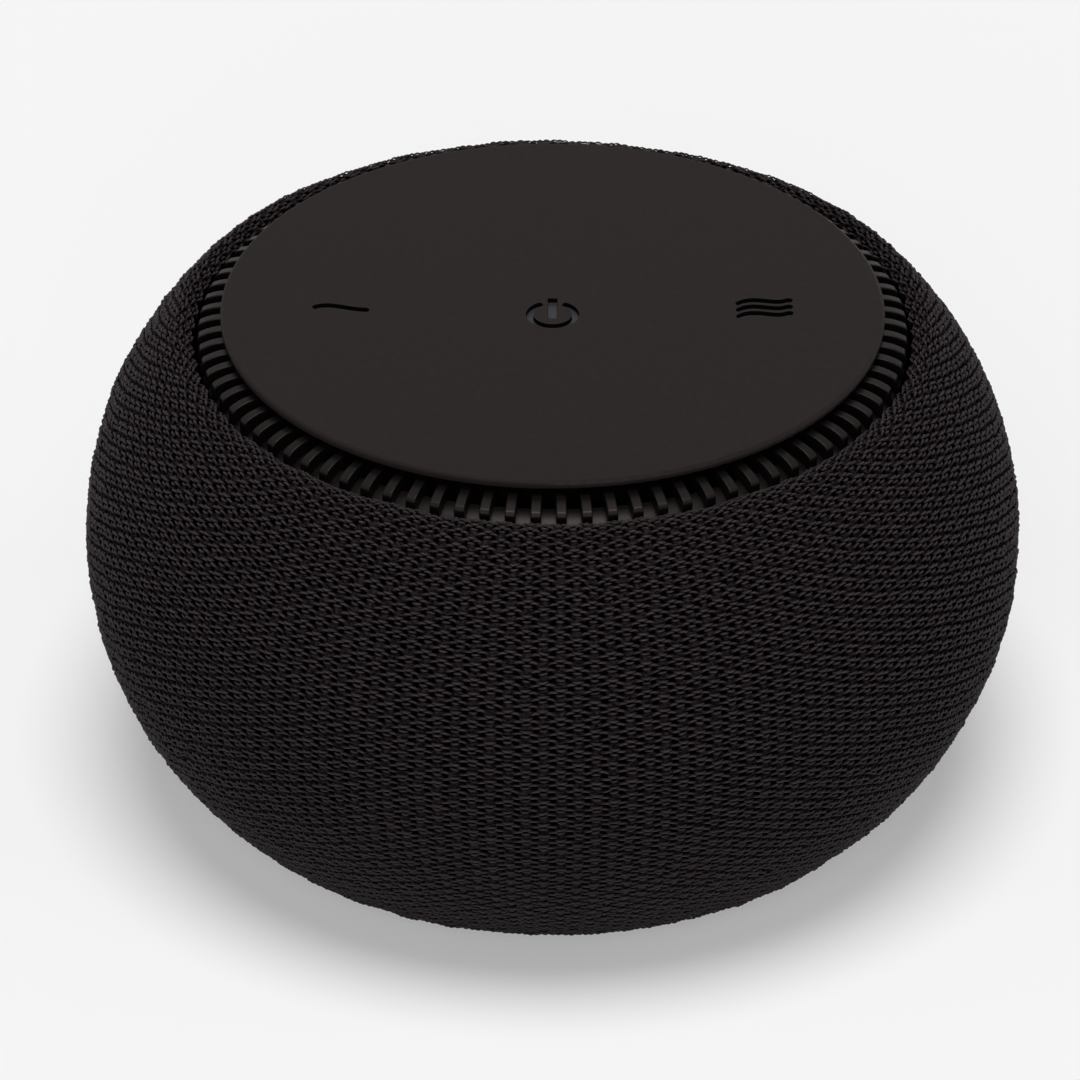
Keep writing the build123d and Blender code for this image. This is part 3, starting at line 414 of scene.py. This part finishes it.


# %% [markdown]
# ## The net under the stitches
# The net is a grid with two squares to a half stitch. The middle vertex of every hole's four squares
# is dissolved, the face that is left is inset, and its inner part is pulled to an oval and taken
# out. Then the grid gets its relief: the corners between stitches sink into pits, and the hole's rim
# rolls inwards. How far each vertex lies down in a hole or pit is kept as an attribute, so that the
# finish can paint shade there, black deep in the holes and pits.

# %% Net
NET_DEPTH = 0.36 * MM
PIT_DEPTH = 0.66 * MM
RIM_DEPTH = 0.95 * MM
HOLE_W = 1.46 * MM
HOLE_H = 0.66 * MM
FIRST_INSET = 0.1 * MM                # small, as the inner corners move on to the oval

net = bmesh.new()
bmesh.ops.create_grid(net, x_segments=4, y_segments=4 * ROWS, size=0.5)
bmesh.ops.scale(net, vec=(2 * COLUMN_W, skin_length, 1), verts=net.verts)
bmesh.ops.translate(net, vec=(0, skin_length / 2, -NET_DEPTH), verts=net.verts)


def grid_place(point):
    """Column and row numbers of a point, in quarter steps of the knit's repeat."""
    return round(point.x / (COLUMN_W / 2)), round(point.y / (ROW_H / 4))


hole_middles = []
for vert in net.verts:
    column, row = grid_place(vert.co)
    if column % 2 and row % 2:
        if (column - 1) // 2 % 2 == (row - 1) // 2 % 2:
            hole_middles.append(vert)
    elif not column % 2 and not row % 2:
        vert.co.z = -PIT_DEPTH
bmesh.ops.dissolve_verts(net, verts=hole_middles)
hole_faces = [face for face in net.faces if len(face.verts) > 4]
bmesh.ops.inset_individual(net, faces=hole_faces, thickness=FIRST_INSET)
for face in hole_faces:
    centre = face.calc_center_bounds()
    for vert in face.verts:
        way = vert.co - centre
        slant = atan2(way.y / (ROW_H / 4), way.x / (COLUMN_W / 2))
        vert.co = centre + Vector((HOLE_W / 2 * cos(slant), HOLE_H / 2 * sin(slant), 0))
        vert.co.z = -RIM_DEPTH
bmesh.ops.delete(net, geom=hole_faces, context="FACES_ONLY")
sunken = net.verts.layers.float.new("sunken")
for vert in net.verts:
    vert[sunken] = min(1.0, max(0.0, (-vert.co.z - NET_DEPTH) / (RIM_DEPTH - NET_DEPTH)))
print("holes in the repeat:", len(hole_faces))
knit_net = finish_knit("knit_net", net)

# %% [markdown]
# ## A black sheet behind the holes
# Behind the net lies a thin black sheet. It stands in for the shade in the holes, as painted shade, and
# keeps the pale world from showing through them where the cover bends over the mouth. It needs no
# relief, so it is a plain grid that counts as sunken all over and takes the painted hole shade.

# %% Black sheet behind the holes
SHADE_SHEET_DEPTH = 1.02 * MM

shade_sheet = bmesh.new()
bmesh.ops.create_grid(shade_sheet, x_segments=2, y_segments=2 * ROWS, size=0.5)
bmesh.ops.scale(shade_sheet, vec=(2 * COLUMN_W, skin_length, 1), verts=shade_sheet.verts)
bmesh.ops.translate(shade_sheet, vec=(0, skin_length / 2, -SHADE_SHEET_DEPTH), verts=shade_sheet.verts)
sunken = shade_sheet.verts.layers.float.new("sunken")
for vert in shade_sheet.verts:
    vert[sunken] = 1.0
knit_shade_sheet = finish_knit("knit_shade_sheet", shade_sheet)

# %% [markdown]
# ## The raised yarns
# On the net lie four kinds of short yarn: a flat bar over each hole's lower edge, a shorter lens
# below it, and two arched legs that lead to the neighbouring columns. Each is a grid of a dozen
# faces, pressed into the shape of a grain of rice whose ends dive into the net. It has its own UV
# map, along and across the yarn, so that the filaments can follow it.

# %% Yarns
GRAIN_ALONG = 4
GRAIN_ACROSS = 3
GRAIN_TAPER = 0.45                    # share of its width that a grain loses towards its ends
GRAIN_ROUND = 1.15                    # how deep its sides curve down, in half widths


def add_grain(bm, x, y, length, width, top, dive, arch, lean):
    """One short yarn on the swatch, its highest point at z = top and its ends lower by dive."""
    made = bmesh.ops.create_grid(
        bm, x_segments=GRAIN_ALONG, y_segments=GRAIN_ACROSS, size=1.0, calc_uvs=True
    )
    for vert in made["verts"]:
        along, across = vert.co.x, vert.co.y
        half = width / 2 * (1 - GRAIN_TAPER * along * along)
        crown = cos(across * pi / 2)
        vert.co.x = x + along * length / 2
        vert.co.y = y + across * half - arch * (1 - along * along) + lean * along * length / 2
        vert.co.z = top - dive * along * along - GRAIN_ROUND * half * (1 - crown)


def knit_yarn(name, x, y, **shape):
    """A piece with one such yarn in every stitch, x and y being its place from the hole's middle."""
    bm = bmesh.new()
    bm.loops.layers.uv.new("yarn")
    for half_row in range(2 * ROWS):
        column = half_row % 2
        place = (half_row + 0.5) * ROW_H / 2 + y
        if 0 < place < skin_length:
            add_grain(bm, (column - 0.5) * COLUMN_W + x, place, **shape)
    return finish_knit(name, bm)


knit_bars = knit_yarn(
    "knit_bars", 0, 0.53 * MM, length=1.66 * MM, width=0.46 * MM, top=0.05 * MM,
    dive=0.40 * MM, arch=-0.05 * MM, lean=0,
)
knit_lenses = knit_yarn(
    "knit_lenses", 0, 1.31 * MM, length=1.36 * MM, width=0.42 * MM, top=-0.08 * MM,
    dive=0.28 * MM, arch=-0.04 * MM, lean=0,
)
knit_legs_left = knit_yarn(
    "knit_legs_left", -1.0 * MM, 1.04 * MM, length=1.56 * MM, width=0.42 * MM, top=0.0,
    dive=0.36 * MM, arch=0.20 * MM, lean=-0.10,
)
knit_legs_right = knit_yarn(
    "knit_legs_right", 1.0 * MM, 1.04 * MM, length=1.56 * MM, width=0.42 * MM, top=0.0,
    dive=0.36 * MM, arch=0.20 * MM, lean=0.10,
)
yarns = [knit_bars, knit_lenses, knit_legs_left, knit_legs_right]
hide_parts("knit_sleeve")

# %% [markdown]
# ## Dyed yarn
# Polyester yarn is a bundle of smooth filaments. The dye is nearly black with a trace of brown, and
# the filaments add a soft sheen where they turn away. Their ridges are a bump that follows the yarn.
# The colour is painted lighter along the top of each yarn, a painted highlight, and darker at its sides,
# ends and filament grooves, painted shade where it dives under its neighbours. Patches of lighter and
# duller yarn keep the rows from looking printed.

# %% Knit finish
# YARN_DARK is the painted shade at a yarn's sides, ends and grooves, YARN_LIGHT the painted highlight
# along its top; random patches shift both.
YARN_DARK = (0.0045, 0.0030, 0.0032, 1)
YARN_LIGHT = (0.0790, 0.0590, 0.0620, 1)
# NET_DARK is painted shade in the weave's low places and NET_LIGHT its raised strands, over a random
# pattern.
NET_DARK = (0.0016, 0.0011, 0.0012, 1)
NET_LIGHT = (0.0285, 0.0210, 0.0225, 1)
# painted shade, nearly black, for the deep places of the holes and pits
PAINTED_HOLE_SHADE = (0.0004, 0.0003, 0.0003, 1)
WEAVE_SCALE = 1700.0
WEAVE_SQUEEZE = (1, 1, 2.6)           # the net's strands run round the body
STRAND_RANGE = (0.38, 0.66)           # heights of the weave, from its darkest to its lightest; its low places are painted darker, as shade
HOLE_RANGE = (0.06, 0.34)             # where the painted shade turns the net black, in parts of the deepest rim

knit_finish, tree, shader, coords = new_material("knit_yarn")
strands = use_group(tree, filaments, UV=coords.outputs["UV"], Place=coords.outputs["Object"], Count=3.0)
# Painted highlight and shade: each yarn's top is lighter, and its sides, ends and filament grooves are
# darker, times random patches.
shaded_tone = calculate(tree, "MULTIPLY", strands["Crest_shading"], remap(tree, strands["Shade"], 0.10, 1.50))
shaded_tone = calculate(tree, "MULTIPLY", shaded_tone, remap(tree, strands["Height"], 0.45, 1.0))
plug(tree, between(tree, shaded_tone, YARN_DARK, YARN_LIGHT), shader.inputs["Base Color"])
plug(tree, remap(tree, strands["Shade"], 0.45, 0.70), shader.inputs["Roughness"])
shader.inputs["Specular IOR Level"].default_value = 0.12
bumped(tree, shader, strands["Height"], 0.035 * MM)

net_finish, tree, shader, coords = new_material("knit_net_yarn")
flattened = tree.nodes.new("ShaderNodeMapping")
flattened.inputs["Scale"].default_value = WEAVE_SQUEEZE
tree.links.new(coords.outputs["Object"], flattened.inputs["Vector"])
weave = use_group(tree, grain, Vector=flattened.outputs["Vector"], Scale=WEAVE_SCALE)
# The colour follows the bump's height, so the weave's low places between strands are painted darker, as
# shade.
strand_shading = picked_out(tree, weave["Height"], *STRAND_RANGE)
# Painted shade: the deeper a vertex lies in a hole or pit, the blacker the net is painted.
depth = tree.nodes.new("ShaderNodeAttribute")
depth.attribute_name = "sunken"
hole_shade_mask = picked_out(tree, depth.outputs["Fac"], *HOLE_RANGE)
woven = between(tree, strand_shading, NET_DARK, NET_LIGHT)
plug(tree, between(tree, hole_shade_mask, woven, PAINTED_HOLE_SHADE), shader.inputs["Base Color"])
plug(tree, remap(tree, weave["Patches"], 0.85, 1.0), shader.inputs["Roughness"])
shader.inputs["Specular IOR Level"].default_value = 0.0
bumped(tree, shader, weave["Height"], 0.12 * MM)

knit_net.data.materials.append(net_finish)
knit_shade_sheet.data.materials.append(net_finish)
for yarn in yarns:
    yarn.data.materials.append(knit_finish)
print("knit finishes:", net_finish.name, "and", knit_finish.name)

# %% [markdown]
# ## Moulded plastics
# Most pieces are injection moulded. Their surface carries the fine grain of the mould, a little dust
# and handling that changes the gloss in patches, and nothing else. One helper makes them all, and
# each gets its own colour, gloss and grain.

# %% Moulded finishes
DUST_COLOUR = (0.32, 0.30, 0.29, 1)


def moulded(
    name, dark, light, gloss, grain_scale, grain_depth, specular, dusty=0.0, shine=(1.0, 1.0, 1.0)
):
    """A moulded plastic or rubber: two close colours in patches, a range of gloss, and a grain."""
    material, tree, shader, coords = new_material(name)
    surface = use_group(tree, grain, Vector=coords.outputs["Object"], Scale=grain_scale)
    mottled = between(tree, surface["Patches"], (*dark, 1), (*light, 1))
    if dusty:
        settled = use_group(tree, dust, Vector=coords.outputs["Object"], Amount=dusty)
        mottled = between(tree, settled["Mask"], mottled, DUST_COLOUR)
    plug(tree, mottled, shader.inputs["Base Color"])
    plug(tree, remap(tree, surface["Patches"], *gloss), shader.inputs["Roughness"])
    shader.inputs["Specular IOR Level"].default_value = specular
    shader.inputs["Specular Tint"].default_value = (*shine, 1)
    bumped(tree, shader, surface["Height"], grain_depth)
    return material


finishes = {
    "panel": moulded(
        "soft_touch_plate", (0.0125, 0.0094, 0.0088), (0.0150, 0.0114, 0.0107), (0.48, 0.58),
        grain_scale=9000.0, grain_depth=0.012 * MM, specular=0.04, dusty=0.04,
    ),
    "grille": moulded(
        "satin_ribs", (0.0022, 0.0017, 0.0016), (0.0034, 0.0027, 0.0025), (0.31, 0.38),
        grain_scale=7000.0, grain_depth=0.003 * MM, specular=0.115, dusty=0.01, shine=(1.0, 0.87, 0.82),
    ),
    "sign_film": moulded(
        "smoked_sign_film", (0.020, 0.020, 0.023), (0.028, 0.028, 0.032), (0.35, 0.50),
        grain_scale=5000.0, grain_depth=0.006 * MM, specular=0.16,
    ),
    "shell_plastic": moulded(
        "shell_black", (0.0060, 0.0055, 0.0055), (0.0080, 0.0074, 0.0074), (0.60, 0.75),
        grain_scale=5000.0, grain_depth=0.02 * MM, specular=0.12,
    ),
    "core_plastic": moulded(
        "core_black", (0.010, 0.010, 0.010), (0.014, 0.014, 0.014), (0.45, 0.62),
        grain_scale=4000.0, grain_depth=0.02 * MM, specular=0.35,
    ),
    "base_plastic": moulded(
        "plinth_black", (0.0095, 0.0088, 0.0088), (0.0130, 0.0122, 0.0122), (0.45, 0.60),
        grain_scale=3500.0, grain_depth=0.03 * MM, specular=0.35,
    ),
    "foot_rubber": moulded(
        "foot_rubber_black", (0.0095, 0.0095, 0.0095), (0.0140, 0.0138, 0.0136), (0.78, 0.90),
        grain_scale=2500.0, grain_depth=0.03 * MM, specular=0.25,
    ),
    "slide_plastic": moulded(
        "natural_acetal", (0.64, 0.62, 0.56), (0.70, 0.68, 0.62), (0.35, 0.50),
        grain_scale=3000.0, grain_depth=0.01 * MM, specular=0.5,
    ),
    "impeller_plastic": moulded(
        "impeller_grey", (0.020, 0.020, 0.022), (0.026, 0.026, 0.028), (0.25, 0.36),
        grain_scale=3000.0, grain_depth=0.006 * MM, specular=0.5,
    ),
    "chip": moulded(
        "chip_package", (0.006, 0.006, 0.006), (0.010, 0.010, 0.010), (0.50, 0.65),
        grain_scale=9000.0, grain_depth=0.01 * MM, specular=0.4,
    ),
    "wire": moulded(
        "wire_jacket", (0.005, 0.005, 0.005), (0.008, 0.008, 0.008), (0.45, 0.60),
        grain_scale=3000.0, grain_depth=0.01 * MM, specular=0.4,
    ),
    "grommet_rubber": moulded(
        "grommet_rubber_black", (0.010, 0.010, 0.011), (0.015, 0.015, 0.016), (0.70, 0.85),
        grain_scale=2500.0, grain_depth=0.02 * MM, specular=0.3,
    ),
    "led": moulded(
        "led_diffuser", (0.78, 0.76, 0.62), (0.86, 0.84, 0.72), (0.30, 0.40),
        grain_scale=5000.0, grain_depth=0.005 * MM, specular=0.5,
    ),
    "flex": moulded(
        "polyimide_film", (0.42, 0.14, 0.012), (0.54, 0.20, 0.020), (0.18, 0.30),
        grain_scale=2000.0, grain_depth=0.004 * MM, specular=0.5,
    ),
    "board": moulded(
        "solder_mask", (0.004, 0.055, 0.018), (0.006, 0.075, 0.026), (0.28, 0.42),
        grain_scale=1500.0, grain_depth=0.01 * MM, specular=0.5,
    ),
}
print("moulded finishes:", len(finishes))

# %% [markdown]
# ## Painted shade on the walls of the signs
# The narrow walls of the signs lie in shade, so they are painted nearly black, as painted shade. Those
# walls are the steep faces near the axis, and the finish finds them by their normal and by how far
# they are from it.

# %% Sign walls
SIGNS_REACH = 42 * MM                 # from the axis; the plate's own rim lies further out
STEEP = 0.5                           # a wall's normal rises less than this
# the painted shade on the walls of the signs
SIGN_WALL_SHADE = (0.0010, 0.0009, 0.0009, 1)


def shade_sign_walls(material, reach, colour):
    """Paints shade on the steep faces of a piece, up to a distance from the axis, in a dark colour of
    their own.
    """
    tree = material.node_tree
    shader = tree.nodes["Principled BSDF"]
    face_colour = shader.inputs["Base Color"].links[0].from_socket
    place = tree.nodes.new("ShaderNodeTexCoord")
    flat = tree.nodes.new("ShaderNodeVectorMath")
    flat.operation = "MULTIPLY"
    flat.inputs[1].default_value = (1, 1, 0)
    tree.links.new(place.outputs["Object"], flat.inputs[0])
    distance = tree.nodes.new("ShaderNodeVectorMath")
    distance.operation = "LENGTH"
    tree.links.new(flat.outputs[0], distance.inputs[0])
    facing = tree.nodes.new("ShaderNodeNewGeometry")
    parts = tree.nodes.new("ShaderNodeSeparateXYZ")
    tree.links.new(facing.outputs["True Normal"], parts.inputs[0])
    steep = calculate(tree, "LESS_THAN", calculate(tree, "ABSOLUTE", parts.outputs["Z"]), STEEP)
    near = calculate(tree, "LESS_THAN", distance.outputs["Value"], reach)
    wall_shade = calculate(tree, "MULTIPLY", steep, near)
    plug(tree, between(tree, wall_shade, face_colour, colour), shader.inputs["Base Color"])


# Painted shade on the walls of the signs.
shade_sign_walls(finishes["panel"], SIGNS_REACH, SIGN_WALL_SHADE)
print("shaded walls, up to", round(SIGNS_REACH / MM), "mm from the axis")

# %% [markdown]
# ## Metals
# The motor's parts are turned, stamped or wound, and each leaves its own marks: fine rings on steel,
# the edges of stacked sheets on the stator, side by side wires on the windings. A noise pattern that
# is squeezed along one axis draws all of them.

# %% Metal finishes
def metal(name, dark, light, gloss, squeeze, mark_depth):
    """A metal with fine parallel marks, close together along the axis that is squeezed."""
    material, tree, shader, coords = new_material(name)
    mapping = tree.nodes.new("ShaderNodeMapping")
    mapping.inputs["Scale"].default_value = squeeze
    tree.links.new(coords.outputs["Object"], mapping.inputs["Vector"])
    marks = noise_of(tree, mapping.outputs["Vector"], 1.0, detail=3.0, roughness=0.6)
    plug(tree, between(tree, marks, (*dark, 1), (*light, 1)), shader.inputs["Base Color"])
    plug(tree, remap(tree, marks, *gloss), shader.inputs["Roughness"])
    shader.inputs["Metallic"].default_value = 1.0
    bumped(tree, shader, marks, mark_depth)
    return material


finishes["steel"] = metal(
    "zinc_plated_steel", (0.38, 0.38, 0.39), (0.52, 0.52, 0.53), (0.22, 0.40), (600, 600, 4000), 0.004 * MM
)
finishes["lamination"] = metal(
    "stacked_sheet", (0.10, 0.10, 0.105), (0.20, 0.20, 0.21), (0.40, 0.60), (300, 300, 6000), 0.02 * MM
)
finishes["bronze"] = metal(
    "sintered_bronze", (0.34, 0.19, 0.06), (0.46, 0.28, 0.10), (0.35, 0.55), (4000, 4000, 4000), 0.01 * MM
)
finishes["copper"] = metal(
    "enamelled_wire", (0.42, 0.10, 0.03), (0.60, 0.19, 0.06), (0.22, 0.36), (500, 500, 7000), 0.03 * MM
)
finishes["magnet"] = metal(
    "ferrite", (0.018, 0.018, 0.020), (0.035, 0.035, 0.038), (0.55, 0.75), (2500, 2500, 2500), 0.01 * MM
)
print("all finishes:", sorted(finishes))

# %% [markdown]
# ## Every piece gets its finish
# The pieces keep the shape they have. Only their material slots change, one finish for each slot of
# the part's own list.

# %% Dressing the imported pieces
for part in frame["record"]["subparts"]:
    node = nodes[part["node"]]
    if part["material_slot"] == "knit":
        continue
    for slot in node.material_slots:
        slot.material = finishes[part["material_slot"]]
print("dressed:", len(nodes) - 1, "of", len(nodes), "packed pieces; the knit replaces the other")
